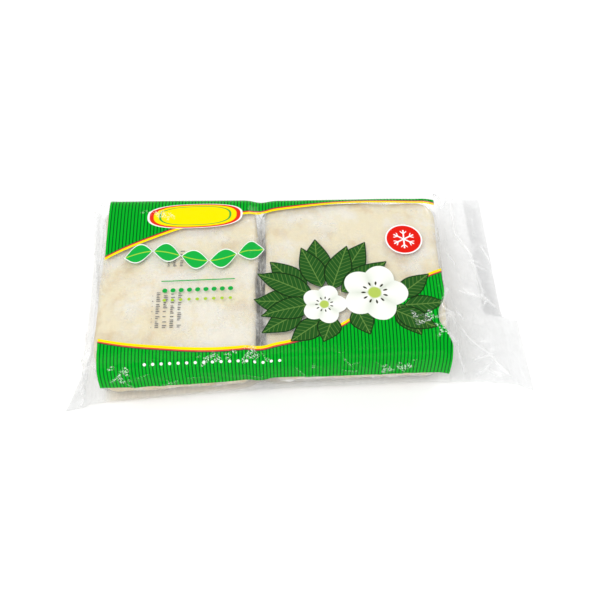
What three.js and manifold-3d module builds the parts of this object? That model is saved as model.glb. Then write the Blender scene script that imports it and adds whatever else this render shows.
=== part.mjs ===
// Bag of frozen fruit pulp, lying on its back: a clear film bag around two stacks of two sachets.
//
// Units are millimetres. X runs along the bag, with the long empty flap at +X. The front of the bag
// is at -Y and +Z is up. The bag lies flat on z = 0.
//
// Each sachet is a slab of frozen pulp between two webs of film that are welded all round, and the
// bag is one tube of film, flattened and sealed at both ends.

import * as THREE from 'three'
import Module from 'manifold-3d'

const { Manifold, Mesh: ManifoldMesh } = await bootManifold()

// Driving dimensions

const FILM = 0.6                 // film thickness, heavier than life so that it can be made as a solid
const GAP = 0.3                  // air between two pieces that lie on each other
const WELD_FLANGE = 2.2          // weld that sticks out round a sachet
const EDGE_ROUNDING = 7          // width of the rounded edge of a pulp slab, seen from above
const CORNER_RADIUS = 11         // corner of a pulp slab, seen from above
const PULP_DOME = 0.5            // rise of a slab from its edge to its middle

// The two stacks of slabs, by the four corners of their outline: front left, front right,
// back right, back left. The left slabs are smaller in outline and so a little thicker.
const LEFT_STACK = {
  corners: [[-122.5, -58.5], [-28, -52.5], [-27.5, 63], [-123, 63.5]],
  thickness: 16.2,
}
const RIGHT_STACK = {
  corners: [[-20.8, -52], [86.5, -49.5], [87, 62], [-20.8, 63.5]],
  thickness: 15.4,
}

const VENT_RADIUS = 1.5          // small hole through the upper layer of the flap
const VENT_PLACE = [119, -31]
const VENT_BOTTOM = 1.6          // the hole starts between the flap's two layers
const VENT_DEPTH = 6

// The bag, by cross-sections from its left end to the start of the right seal band. Each section has
// its front and back fold as [x, y, z], the height of its top and how square its shoulders are.
// lean moves the top of the front and back walls in from the folds. bow moves the middle of a section
// along X, so that an end can be curved.
const BAG_SECTIONS = [
  { name: 'left edge', front: [-143.5, -69, 0.7], back: [-140, 84, 5],
    top: 1.5, square: 2.2, lean: [0, 0], bow: 11.6 },
  { name: 'left weld', front: [-138.2, -67.5, 0.9], back: [-137, 82, 5.5],
    top: 2.2, square: 2.2, lean: [0, 0], bow: 7.8 },
  { name: 'left foot', front: [-132, -66.5, 1.6], back: [-134, 79, 6.5],
    top: 8, square: 2.6, lean: [0, 2], bow: 3.6 },
  { name: 'left wall', front: [-129.6, -65.5, 4], back: [-132, 76, 8],
    top: 27, square: 4.5, lean: [2, 6], bow: 2 },
  { name: 'left shoulder', front: [-126, -64.6, 7], back: [-128, 73, 9.5],
    top: 37.4, square: 8, lean: [3, 6], bow: 0 },
  { name: 'left stack', front: [-116, -63.8, 8.5], back: [-118, 70.5, 11],
    top: 39.8, square: 10, lean: [3.5, 5], bow: 0 },
  { name: 'left stack middle', front: [-76, -60.9, 9.5], back: [-76, 69.5, 12],
    top: 39.9, square: 10, lean: [3.5, 4], bow: 0 },
  { name: 'left of the gap', front: [-36, -58.2, 9.5], back: [-36, 69, 12],
    top: 39.8, square: 10, lean: [3.5, 4], bow: 0 },
  { name: 'gap', front: [-24.2, -57.2, 9.5], back: [-24.2, 69, 12],
    top: 36.6, square: 9, lean: [2.6, 3.4], bow: 0 },
  { name: 'right of the gap', front: [-13, -56.7, 9.5], back: [-13, 69, 12],
    top: 38.2, square: 10, lean: [2.4, 3.4], bow: 0 },
  { name: 'right stack middle', front: [34, -55.6, 9.5], back: [34, 69.5, 12],
    top: 38.3, square: 10, lean: [2.6, 4.6], bow: 0 },
  { name: 'right stack', front: [78, -54.2, 8], back: [78, 74, 12],
    top: 38.2, square: 10, lean: [2.4, 12], bow: 0 },
  { name: 'right shoulder', front: [89, -54.6, 6], back: [88, 78, 11.5],
    top: 35.8, square: 8.5, lean: [2, 14], bow: 0 },
  { name: 'right wall', front: [94, -54.4, 4], back: [92.5, 82, 10.5],
    top: 25, square: 5, lean: [2.4, 13], bow: 0 },
  { name: 'right slope', front: [101, -54.2, 2], back: [96, 88, 8.5],
    top: 11, square: 3.2, lean: [2, 10], bow: 0 },
  { name: 'flap root', front: [109, -54.2, 1.5], back: [101, 94.5, 6],
    top: 4.6, square: 2.6, lean: [0, 3], bow: 0 },
  { name: 'flap', front: [121, -55, 1.3], back: [112, 95.5, 4],
    top: 2.8, square: 2.4, lean: [0, 0], bow: 0 },
  { name: 'flap end', front: [132, -56.5, 1.2], back: [125.6, 91.5, 3.2],
    top: 2.4, square: 2.2, lean: [0, 0], bow: -1 },
]
const BOW_SKEW = 0.75            // below 1, the deepest place of a bow lies nearer its front
const BOW_POWER = 1.5            // above 1, a bow leaves the corners straighter
const SHOULDER_POWER = 4         // how late a wall starts to lean: 1 is at once, more is nearer its top
const FLAP_BACK_RISE = 2.2       // how far the flap is held off the ground at its back, by the folded band
const SECTIONS_PER_SPAN = 2      // smooth sections made for each step of the table
const POINTS_ROUND = 40          // points round one section
const FIRST_HOLLOW = 2           // the bag is fused up to this section

// The right seal band: its front part is flat and shows, its back part is folded under the flap
const BAND_FRONT = [[128, -56], [142.5, -61], [137.4, -8.3], [129, -5], [124, -5]]
const BAND_BACK = [[115.8, -6], [126.9, -4], [127.4, 91], [116.2, 91]]
const BAND_HINGE = [[125.2, -5.5], [126.9, -4], [127.4, 91], [125.2, 91]]
const BAND_THICKNESS = 2 * FILM
const HINGE_HEIGHT = 3.4

const WALL = FILM + 0.1          // depth of the hollow under the bag's outside, a little over the film
const LEAST_RISE = 0.9           // a section's top is at least this far above its folds
const PRESSED_FLOOR = -0.25      // height that the lower layer would sag to, if the ground didn't flatten it
const FLAP_RISE_SHARE = [0.2, 0.6] // part of the way from front to back where the flap leaves the ground

// Colours

const PULP_COLOUR = 0xe9e0c6
const FILM_COLOUR = 0xe6ebe8
const SACHET_COLOUR = 0xf3f1ea

function bootManifold() {
  return Module().then((library) => {
    library.setup()
    return library
  })
}

// Interpolation

// A smooth value through equally spaced knots that never overshoots them.
function smoothThrough(knots, at) {
  const last = knots.length - 1
  const index = Math.min(Math.floor(at), last - 1)
  const t = at - index
  const slope = (k) => knots[k + 1] - knots[k]
  const tangent = (k) => {
    if (k === 0 || k === last) return 0
    const before = slope(k - 1)
    const after = slope(k)
    return before * after <= 0 ? 0 : (2 * before * after) / (before + after)
  }
  const a = 2 * t ** 3 - 3 * t ** 2 + 1
  const b = t ** 3 - 2 * t ** 2 + t
  const c = -2 * t ** 3 + 3 * t ** 2
  const d = t ** 3 - t ** 2
  return a * knots[index] + b * tangent(index) + c * knots[index + 1] + d * tangent(index + 1)
}

// Outlines

// A quadrilateral with its sides moved in by a distance (out if negative) and its corners rounded.
function roundedQuad(corners, inset, radius, pointsPerCorner) {
  const points = corners.map(([x, y]) => new THREE.Vector2(x, y))
  const outline = []
  for (let i = 0; i < 4; i += 1) {
    const corner = points[i]
    const arriving = corner.clone().sub(points[(i + 3) % 4]).normalize()
    const leaving = points[(i + 1) % 4].clone().sub(corner).normalize()
    const arrivingIn = new THREE.Vector2(-arriving.y, arriving.x)
    const leavingIn = new THREE.Vector2(-leaving.y, leaving.x)
    const turn = Math.acos(arriving.dot(leaving))
    const reach = 1 / Math.cos(turn / 2)
    const inward = arrivingIn.clone().add(leavingIn).normalize()
    const centre = corner.clone().addScaledVector(inward, (inset + radius) * reach)
    const start = Math.atan2(-arrivingIn.y, -arrivingIn.x)
    for (let k = 0; k < pointsPerCorner; k += 1) {
      const angle = start + (turn * k) / (pointsPerCorner - 1)
      outline.push([centre.x + radius * Math.cos(angle), centre.y + radius * Math.sin(angle)])
    }
  }
  return outline
}

// Solids

// The triangles that join each ring to the next one.
function tubeTriangles(rings) {
  const count = rings[0].length
  const triangles = []
  for (let r = 0; r + 1 < rings.length; r += 1) {
    for (let k = 0; k < count; k += 1) {
      const a = r * count + k
      const b = r * count + ((k + 1) % count)
      triangles.push(a, b, b + count, a, b + count, a + count)
    }
  }
  return triangles
}

function solidFromTriangles(positions, triangles) {
  const solid = new Manifold(
    new ManifoldMesh({
      numProp: 3,
      vertProperties: Float32Array.from(positions),
      triVerts: Uint32Array.from(triangles),
    }),
  )
  return solid.volume() < 0 ? invert(solid, positions, triangles) : solid
}

// A closed solid from rings with equal numbers of points, closed by a fan at each end.
function solidFromRings(rings, firstCentre, lastCentre) {
  const positions = rings.flat(2)
  const triangles = tubeTriangles(rings)
  const count = rings[0].length
  const first = positions.length / 3
  positions.push(...firstCentre, ...lastCentre)
  const lastRing = (rings.length - 1) * count
  for (let k = 0; k < count; k += 1) {
    const next = (k + 1) % count
    triangles.push(first, next, k)
    triangles.push(first + 1, lastRing + k, lastRing + next)
  }
  return solidFromTriangles(positions, triangles)
}

// A closed solid from rings that start at one fold. At each end the upper and the lower half of the
// ring are joined straight across, from fold to fold.
function solidFromFlatRings(rings) {
  const triangles = tubeTriangles(rings)
  const count = rings[0].length
  const lastRing = (rings.length - 1) * count
  for (let k = 0; k < count / 2; k += 1) {
    const above = [k, k + 1]
    const below = [(count - k) % count, count - k - 1]
    if (below[0] !== above[0]) {
      triangles.push(below[0], above[1], above[0])
      triangles.push(lastRing + above[0], lastRing + above[1], lastRing + below[0])
    }
    if (below[1] !== above[1]) {
      triangles.push(below[0], below[1], above[1])
      triangles.push(lastRing + above[1], lastRing + below[1], lastRing + below[0])
    }
  }
  return solidFromTriangles(rings.flat(2), triangles)
}

// The same solid with its faces turned the other way.
function invert(solid, positions, triangles) {
  const flipped = triangles.slice()
  for (let i = 0; i < flipped.length; i += 3) {
    flipped[i + 1] = triangles[i + 2]
    flipped[i + 2] = triangles[i + 1]
  }
  return new Manifold(
    new ManifoldMesh({
      numProp: 3,
      vertProperties: Float32Array.from(positions),
      triVerts: Uint32Array.from(flipped),
    }),
  )
}

// A flat plate over an outline, from one height to another.
function plate(outline, bottom, top) {
  return Manifold.extrude([outline], top - bottom).translate([0, 0, bottom])
}

function meshOf(name, solid, material) {
  const data = solid.getMesh()
  const geometry = new THREE.BufferGeometry()
  geometry.setAttribute('position', new THREE.BufferAttribute(new Float32Array(data.vertProperties), 3))
  geometry.setIndex(new THREE.BufferAttribute(new Uint32Array(data.triVerts), 1))
  geometry.computeVertexNormals()
  const mesh = new THREE.Mesh(geometry, material)
  mesh.name = name
  return mesh
}

// Sachets

const POINTS_PER_CORNER = 7
const PROFILE_ANGLES = [0, 28, 58, 90]

// One ring of a slab or of the film on it. reach is the distance outside the pulp, and angle goes
// from -90 degrees at the bottom through 0 at the edge to 90 at the top.
function slabRing(stack, middle, reach, degrees) {
  const angle = THREE.MathUtils.degToRad(degrees)
  const inset = EDGE_ROUNDING - (EDGE_ROUNDING + reach) * Math.cos(angle)
  const height = middle + (stack.thickness / 2 + reach) * Math.sin(angle)
  const radius = Math.max(CORNER_RADIUS - inset, 1)
  return roundedQuad(stack.corners, inset, radius, POINTS_PER_CORNER).map(([x, y]) => [x, y, height])
}

// The middle of a slab's top (side 1) or bottom (side -1), or of the film on it.
function slabCentre(stack, middle, reach, side) {
  const x = stack.corners.reduce((sum, corner) => sum + corner[0], 0) / 4
  const y = stack.corners.reduce((sum, corner) => sum + corner[1], 0) / 4
  const dome = side > 0 ? PULP_DOME : 0
  return [x, y, middle + side * (stack.thickness / 2 + reach + dome)]
}

function pulpSlab(stack, middle) {
  const below = PROFILE_ANGLES.slice(1).reverse().map((angle) => slabRing(stack, middle, 0, -angle))
  const above = PROFILE_ANGLES.map((angle) => slabRing(stack, middle, 0, angle))
  return solidFromRings(
    [...below, ...above],
    slabCentre(stack, middle, 0, -1),
    slabCentre(stack, middle, 0, 1),
  )
}

// One web of a sachet: a tray of film over the top (side 1) or under the bottom (side -1) of a slab,
// with a flange all round. The two flanges face each other at the weld.
function sachetWeb(stack, middle, side) {
  const outside = GAP + FILM
  const flangeReach = outside + WELD_FLANGE
  const flangeInner = middle + side * (GAP / 2)
  const flangeOuter = middle + side * (GAP / 2 + FILM)
  const atHeight = (ring, height) => ring.map(([x, y]) => [x, y, height])
  const edge = roundedQuad(stack.corners, -flangeReach, CORNER_RADIUS + flangeReach, POINTS_PER_CORNER)
  const ringsAt = (reach) => PROFILE_ANGLES.map((angle) => slabRing(stack, middle, reach, side * angle))
  const outer = ringsAt(outside).reverse()
  const inner = ringsAt(GAP)
  outer[outer.length - 1] = atHeight(outer[outer.length - 1], flangeOuter)
  inner[0] = atHeight(inner[0], flangeInner)
  return solidFromRings(
    [...outer, atHeight(edge, flangeOuter), atHeight(edge, flangeInner), ...inner],
    slabCentre(stack, middle, outside, side),
    slabCentre(stack, middle, GAP, side),
  )
}

// Height of the middle of a slab in its stack: level 0 is the lower one.
function slabMiddle(stack, level) {
  const wrapped = stack.thickness + 2 * (GAP + FILM)
  const step = wrapped + PULP_DOME + GAP
  return FILM + 2 * GAP + wrapped / 2 + level * step
}

// Outer bag

// The section of the bag at a place in the table, as a ring of points.
function bagSection(at) {
  const value = (pick) => smoothThrough(BAG_SECTIONS.map(pick), at)
  const fold = (side) => [0, 1, 2].map((axis) => value((section) => section[side][axis]))
  const front = fold('front')
  const back = fold('back')
  const top = value((section) => section.top)
  const square = value((section) => section.square)
  const bow = value((section) => section.bow)
  const leanFront = value((section) => section.lean[0])
  const leanBack = value((section) => section.lean[1])
  const ring = []
  for (let k = 0; k < POINTS_ROUND; k += 1) {
    const angle = (2 * Math.PI * k) / POINTS_ROUND
    const across = Math.sign(Math.cos(angle)) * Math.abs(Math.cos(angle)) ** (2 / square)
    const up = Math.sign(Math.sin(angle)) * Math.abs(Math.sin(angle)) ** (2 / square)
    const share = (1 + across) / 2
    const foldHeight = THREE.MathUtils.lerp(front[2], back[2], share)
    const rise = Math.max(top - foldHeight, LEAST_RISE)
    const drop = foldHeight - bagFloor(at, share)
    const leaning = Math.max(up, 0) ** SHOULDER_POWER
    const bowed = bow * Math.sin(Math.PI * share ** BOW_SKEW) ** BOW_POWER
    ring.push([
      THREE.MathUtils.lerp(front[0], back[0], share) + bowed,
      THREE.MathUtils.lerp(front[1] + leaning * leanFront, back[1] - leaning * leanBack, share),
      Math.max(foldHeight + up * (up > 0 ? rise : drop), 0),
    ])
  }
  return ring
}

// Height of the lower layer. It is pressed flat under the stacks, and the back of the flap rises.
function bagFloor(at, share) {
  const flapStart = BAG_SECTIONS.findIndex((section) => section.name === 'right slope')
  const alongFlap = THREE.MathUtils.smoothstep(at, flapStart, BAG_SECTIONS.length - 1)
  const acrossFlap = THREE.MathUtils.smoothstep(share, ...FLAP_RISE_SHARE)
  return PRESSED_FLOOR + (FLAP_BACK_RISE - PRESSED_FLOOR) * alongFlap * acrossFlap
}

// The rings of the bag's outside, and the same rings moved in along their normals.
function bagRings(depth, first) {
  const steps = (BAG_SECTIONS.length - 1) * SECTIONS_PER_SPAN
  const outside = []
  for (let r = 0; r <= steps; r += 1) outside.push(bagSection(r / SECTIONS_PER_SPAN))
  if (depth === 0) return outside
  const inside = outside.map((ring, r) => ring.map((point, k) => {
    const normal = ringNormal(outside, r, k)
    return point.map((value, axis) => value - depth * normal[axis])
  }))
  return inside.slice(first * SECTIONS_PER_SPAN, inside.length - 1)
}

// The outward normal of the grid of rings at one of its points.
function ringNormal(rings, r, k) {
  const count = rings[r].length
  const along = new THREE.Vector3(...rings[Math.min(r + 1, rings.length - 1)][k])
    .sub(new THREE.Vector3(...rings[Math.max(r - 1, 0)][k]))
  const round = new THREE.Vector3(...rings[r][(k + 1) % count])
    .sub(new THREE.Vector3(...rings[r][(k + count - 1) % count]))
  return round.cross(along).normalize().toArray()
}

function outerBag() {
  const skin = solidFromFlatRings(bagRings(0, 0))
  const hollow = solidFromFlatRings(bagRings(WALL, FIRST_HOLLOW))
  const bandFront = plate(BAND_FRONT, 0, BAND_THICKNESS)
  const bandBack = plate(BAND_BACK, 0, BAND_THICKNESS)
  const hinge = plate(BAND_HINGE, 0, HINGE_HEIGHT)
  const vent = Manifold.cylinder(VENT_DEPTH, VENT_RADIUS, VENT_RADIUS, 16)
    .translate([...VENT_PLACE, VENT_BOTTOM])
  return Manifold.union([skin, bandFront, bandBack, hinge]).subtract(hollow).subtract(vent)
}

// Materials

function filmMaterial(color, opacity) {
  return new THREE.MeshStandardMaterial({ color, opacity, roughness: 0.25, metalness: 0, transparent: true })
}

function pulpMaterial() {
  return new THREE.MeshStandardMaterial({ color: PULP_COLOUR, roughness: 0.7, metalness: 0 })
}

// Assembly

function buildBag() {
  const group = new THREE.Group()
  group.name = 'frozen_pulp_bag'
  for (const [side, stack] of [['left', LEFT_STACK], ['right', RIGHT_STACK]]) {
    for (const [row, level] of [['lower', 0], ['upper', 1]]) {
      const name = `${row}_${side}`
      const middle = slabMiddle(stack, level)
      group.add(meshOf(`${name}_pulp_block`, pulpSlab(stack, middle), pulpMaterial()))
      const topWeb = sachetWeb(stack, middle, 1)
      const bottomWeb = sachetWeb(stack, middle, -1)
      group.add(meshOf(`${name}_sachet_top_web`, topWeb, filmMaterial(SACHET_COLOUR, 0.5)))
      group.add(meshOf(`${name}_sachet_bottom_web`, bottomWeb, filmMaterial(SACHET_COLOUR, 0.5)))
    }
  }
  group.add(meshOf('outer_bag', outerBag(), filmMaterial(FILM_COLOUR, 0.35)))
  return centred(group)
}

// Puts the middle of the part's footprint at x = 0, y = 0, and its lowest point at z = 0.
function centred(group) {
  const box = new THREE.Box3().setFromObject(group)
  const centre = box.getCenter(new THREE.Vector3())
  group.children.forEach((mesh) => mesh.geometry.translate(-centre.x, -centre.y, -box.min.z))
  return group
}

export default buildBag()
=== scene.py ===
# %% [markdown]
# # A bag of frozen fruit pulp
#
# The object is a clear film bag that lies flat. Four sachets of frozen pulp fill it, two stacks of
# two, and a long empty flap is left at its right end. The CAD model gives the sizes. This script
# gives the looks: thin wrinkled film, frosty slabs and the print.
#
# All lengths below are in millimetres, because that is how packaging is measured. They become
# Blender's metres where the camera or a mesh is made.

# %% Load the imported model
import math

import bmesh
import bpy
import numpy as np
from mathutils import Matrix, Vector


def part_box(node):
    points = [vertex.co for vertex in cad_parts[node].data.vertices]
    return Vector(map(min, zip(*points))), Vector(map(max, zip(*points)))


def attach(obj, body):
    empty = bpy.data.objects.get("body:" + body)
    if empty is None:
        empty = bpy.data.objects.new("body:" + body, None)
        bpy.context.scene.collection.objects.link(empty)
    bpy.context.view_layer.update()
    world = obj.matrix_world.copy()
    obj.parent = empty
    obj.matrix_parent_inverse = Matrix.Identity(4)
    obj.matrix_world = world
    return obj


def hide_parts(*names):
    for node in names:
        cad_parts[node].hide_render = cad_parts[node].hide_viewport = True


MM = 0.001
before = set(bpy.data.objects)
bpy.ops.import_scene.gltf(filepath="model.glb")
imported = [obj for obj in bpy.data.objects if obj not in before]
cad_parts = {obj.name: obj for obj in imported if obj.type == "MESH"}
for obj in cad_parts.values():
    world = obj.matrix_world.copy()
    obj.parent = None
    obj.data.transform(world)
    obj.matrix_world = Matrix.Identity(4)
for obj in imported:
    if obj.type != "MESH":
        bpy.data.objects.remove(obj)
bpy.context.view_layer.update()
bag_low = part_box("outer_bag")[0]

# %% [markdown]
# ## The drawing's own origin
#
# The bag was measured from a point near the middle of its two stacks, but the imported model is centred
# on its box. The left tip of the bag is known in both, so it gives the shift between them.

# %% Shift from the drawing to the model
LEFT_TIP = (-143.5, -69.0)
SHIFT = np.array([bag_low[0] / MM - LEFT_TIP[0], bag_low[1] / MM - LEFT_TIP[1], 0.0])
print("shift (mm):", SHIFT.round(2))

# %% [markdown]
# ## Camera
#
# The camera looks down at the bag from the front, steeply enough to show its whole top. A normal lens
# at about 63 cm keeps the back edge a little smaller than the front one.

# %% Camera
CAMERA_ELEVATION = 56.0
CAMERA_TURN = -1.3
CAMERA_DISTANCE = 628.0
CAMERA_TARGET = np.array([0.0, 0.0, 15.0])
FOCAL_PIXELS = 989.0
IMAGE_PIXELS = 600.0


def make_camera():
    """Places the camera on a sphere round the target and turns it to look at the target."""
    elevation = math.radians(CAMERA_ELEVATION)
    turn = math.radians(CAMERA_TURN)
    level = math.cos(elevation)
    away = Vector((math.sin(turn) * level, -math.cos(turn) * level, math.sin(elevation)))
    target = Vector((CAMERA_TARGET + SHIFT) * MM)
    data = bpy.data.cameras.new("camera")
    data.sensor_fit = "HORIZONTAL"
    data.angle = 2 * math.atan(IMAGE_PIXELS / 2 / FOCAL_PIXELS)
    data.clip_start = 0.01
    camera = bpy.data.objects.new("camera", data)
    camera.location = target + away * CAMERA_DISTANCE * MM
    camera.rotation_euler = (-away).to_track_quat("-Z", "Y").to_euler()
    bpy.context.collection.objects.link(camera)
    bpy.context.scene.camera = camera
    return camera


camera = make_camera()
print("camera at (m):", [round(v, 3) for v in camera.location])

# %% [markdown]
# ## Surfaces from arrays
#
# Every piece here is a grid of points, wrapped round like a tube. The rows run along the piece and
# the columns run round it. A slab's ends are closed by a fan of faces to one middle point. The bag's
# ends are flat, so there each point of the upper layer is joined to the one straight below it.

# %% Grid to mesh
def fan_ends(rows, columns):
    """Triangles from each end ring to a middle point. The two middle points follow the grid's own."""
    around = np.arange(columns)
    ahead = (around + 1) % columns
    last = (rows - 1) * columns
    first_fan = np.stack([np.full(columns, rows * columns), ahead, around], axis=-1)
    last_fan = np.stack([np.full(columns, rows * columns + 1), last + around, last + ahead], axis=-1)
    return first_fan.tolist() + last_fan.tolist()


def flat_ends(rows, columns):
    """Faces across each flat end ring, whose front fold is a quarter of the way round."""
    fold = columns // 4
    step = np.arange(columns // 2)
    above, above_next = (fold - step) % columns, (fold - step - 1) % columns
    below, below_next = fold + step, fold + step + 1
    last = (rows - 1) * columns
    faces = []
    for start, order in ((0, (0, 1, 2, 3)), (last, (3, 2, 1, 0))):
        corners = start + np.stack([above, above_next, below_next, below], axis=-1)
        faces += corners[1:-1, order].tolist()
        faces += [[corners[0, k] for k in order if k != 3], [corners[-1, k] for k in order if k != 2]]
    return faces


def closed_tube(name, points, attributes=None, flat=False):
    """Makes a mesh from points[row, column, xyz] in millimetres, joined round and closed at both ends."""
    rows, columns = points.shape[:2]
    ends = points[:0, 0] if flat else np.stack([points[0].mean(axis=0), points[-1].mean(axis=0)])
    vertices = (np.concatenate([points.reshape(-1, 3), ends]) + SHIFT) * MM
    row, column = np.meshgrid(np.arange(rows - 1), np.arange(columns), indexing="ij")
    near, far = row * columns, (row + 1) * columns
    following = (column + 1) % columns
    quads = np.stack([near + column, near + following, far + following, far + column], axis=-1).reshape(-1, 4)
    mesh = bpy.data.meshes.new(name)
    closing_faces = flat_ends(rows, columns) if flat else fan_ends(rows, columns)
    mesh.from_pydata(vertices.tolist(), [], quads.tolist() + closing_faces)
    for label, values in (attributes or {}).items():
        layer = mesh.attributes.new(label, "FLOAT", "POINT")
        closing = [] if flat else [values[0].mean(), values[-1].mean()]
        layer.data.foreach_set("value", np.concatenate([values.ravel(), closing]).astype(np.float32))
    turn_outwards(mesh)
    mesh.shade_smooth()
    piece = bpy.data.objects.new(name, mesh)
    bpy.context.collection.objects.link(piece)
    return piece


def turn_outwards(mesh):
    """Turns all faces outwards, which the sign of the enclosed volume shows."""
    work = bmesh.new()
    work.from_mesh(mesh)
    if work.calc_volume(signed=True) < 0:
        bmesh.ops.reverse_faces(work, faces=work.faces)
    work.to_mesh(mesh)
    work.free()


# %% [markdown]
# ## Random relief
#
# Frozen pulp and film are uneven, but a render must come out the same each time. The relief comes
# from a small table of seeded random numbers on a lattice, with smooth steps between them.

# %% Smooth noise
def soft_noise(points, grain, seed):
    """Smooth noise from -1 to 1 at points[..., 3], with bumps about grain millimetres wide."""
    table = np.random.default_rng(seed).uniform(-1, 1, (16, 16, 16))
    place = points / grain
    cell = np.floor(place).astype(int)
    part = place - cell
    part = part * part * (3 - 2 * part)
    total = np.zeros(points.shape[:-1])
    for corner in np.ndindex(2, 2, 2):
        weight = np.ones_like(total)
        for axis in range(3):
            weight = weight * (part[..., axis] if corner[axis] else 1 - part[..., axis])
        index = (cell + np.array(corner)) % 16
        total += weight * table[index[..., 0], index[..., 1], index[..., 2]]
    return total


def surface_normals(points):
    """Unit normals of a tube grid, from the cross product of its two directions."""
    along = np.gradient(points, axis=0)
    round_ = np.roll(points, -1, axis=1) - np.roll(points, 1, axis=1)
    normal = np.cross(round_, along)
    return normal / np.maximum(np.linalg.norm(normal, axis=-1, keepdims=True), 1e-9)


def smoothstep(low, high, value):
    """0 below low, 1 above high and an S-curve between."""
    t = np.clip((value - low) / (high - low), 0, 1)
    return t * t * (3 - 2 * t)


# %% [markdown]
# ## Slabs of frozen pulp
#
# Each slab froze in its sachet, so its outline is a rounded quadrilateral and its edges bulge. A row
# of the grid is that outline at one height. The rows go from the middle of the underside, out and
# round the edge, and back to the middle of the top.

# %% Slab sizes
FILM = 0.6
GAP = 0.3
EDGE_ROUNDING = 7.0
CORNER_RADIUS = 11.0
PULP_DOME = 0.5
EDGE_BULGE = 2.4
EDGE_FULLNESS = 0.72
GAP_MIDDLE = -24.2
LEFT_STACK = {"corners": [(-122.5, -58.5), (-28, -52.5), (-27.5, 63), (-123, 63.5)], "thickness": 16.2}
RIGHT_STACK = {"corners": [(-20.8, -52), (86.5, -49.5), (87, 62), (-20.8, 63.5)], "thickness": 15.4}


def slab_middle(stack, level):
    """Height of the middle of a slab: each wrapped slab rests on the one below."""
    wrapped = stack["thickness"] + 2 * (GAP + FILM)
    return FILM + 2 * GAP + wrapped / 2 + level * (wrapped + PULP_DOME + GAP)


def sachet_places():
    """Label, stack and level of each of the four sachets."""
    for side, stack in (("left", LEFT_STACK), ("right", RIGHT_STACK)):
        for level, row in enumerate(("lower", "upper")):
            yield f"{row}_{side}", stack, level


def rounded_quad(corners, inset, radius, points_per_side):
    """A quadrilateral moved in by inset, with corners of the given radius, as evenly spaced points."""
    corner = np.array(corners, float)
    arriving = corner - np.roll(corner, 1, axis=0)
    arriving /= np.linalg.norm(arriving, axis=1, keepdims=True)
    leaving = np.roll(arriving, -1, axis=0)
    normal_in = np.stack([-arriving[:, 1], arriving[:, 0]], axis=1)
    normal_out = np.stack([-leaving[:, 1], leaving[:, 0]], axis=1)
    inward = normal_in + normal_out
    inward /= np.linalg.norm(inward, axis=1, keepdims=True)
    turn = np.arccos((arriving * leaving).sum(axis=1))
    centre = corner + inward * ((inset + radius) / np.cos(turn / 2))[:, None]
    start = np.arctan2(-normal_in[:, 1], -normal_in[:, 0])
    sweep = np.linspace(0, 1, 12)
    angle = start[:, None] + turn[:, None] * sweep[None, :]
    arc = centre[:, None, :] + radius * np.stack([np.cos(angle), np.sin(angle)], axis=-1)
    outline = arc.reshape(-1, 2)
    closed = np.vstack([outline, outline[:1]])
    length = np.concatenate([[0], np.cumsum(np.linalg.norm(np.diff(closed, axis=0), axis=1))])
    wanted = np.linspace(0, length[-1], 4 * points_per_side, endpoint=False)
    return np.stack([np.interp(wanted, length, closed[:, axis]) for axis in range(2)], axis=1)


for label, stack, level in sachet_places():
    print(label, "slab's middle is", round(slab_middle(stack, level), 2), "mm up")

# %% [markdown]
# The same rows serve the film of the sachet, a little further out. There a fin is added half way up,
# where the two webs of the sachet are welded.

# %% Slab and sachet surface
POINTS_PER_SIDE = 64
EDGE_ROWS = 12
FLAT_ROWS = 26
FIRST_SHARE = 0.02
LEAST_RADIUS = 4.0


def at_height(plan, height):
    """A flat outline as points at one height."""
    return np.column_stack([plan, np.full(len(plan), height)])


def slab_rows(stack, middle, reach, fin):
    """Rows of a slab, or of film at a distance reach from it, from the underside's middle to the top's."""
    centre = np.mean(stack["corners"], axis=0)
    rim = rounded_quad(stack["corners"], EDGE_ROUNDING, LEAST_RADIUS, POINTS_PER_SIDE)
    half = stack["thickness"] / 2 + reach
    flat = []
    for share in np.linspace(FIRST_SHARE, 1, FLAT_ROWS, endpoint=False):
        plan = centre + (rim - centre) * share
        flat.append((plan, 1 - share**2))
    edge = []
    for angle in np.radians(np.linspace(90, 0, EDGE_ROWS)):
        out, up = math.cos(angle) ** EDGE_FULLNESS, math.sin(angle) ** EDGE_FULLNESS
        inset = EDGE_ROUNDING - (EDGE_ROUNDING + reach + EDGE_BULGE) * out
        radius = max(CORNER_RADIUS - inset, LEAST_RADIUS)
        edge.append((rounded_quad(stack["corners"], inset, radius, POINTS_PER_SIDE), up))
    rows = []
    for side in (-1, 1):
        dome = PULP_DOME if side > 0 else 0.0
        half_rows = [at_height(plan, middle + side * (half + dome * rise)) for plan, rise in flat]
        half_rows += [at_height(plan, middle + side * half * up) for plan, up in edge]
        rows.append(half_rows if side < 0 else half_rows[::-1])
    fins = []
    for width, lift in fin:
        out = EDGE_BULGE + reach + width
        plan = rounded_quad(stack["corners"], -out, CORNER_RADIUS + out, POINTS_PER_SIDE)
        fins.append(at_height(plan, middle + lift))
    below = rows[0][:-1]
    above = rows[1][1:]
    waist = fins if fins else [rows[0][-1]]
    return np.array(below + waist + above)


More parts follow.
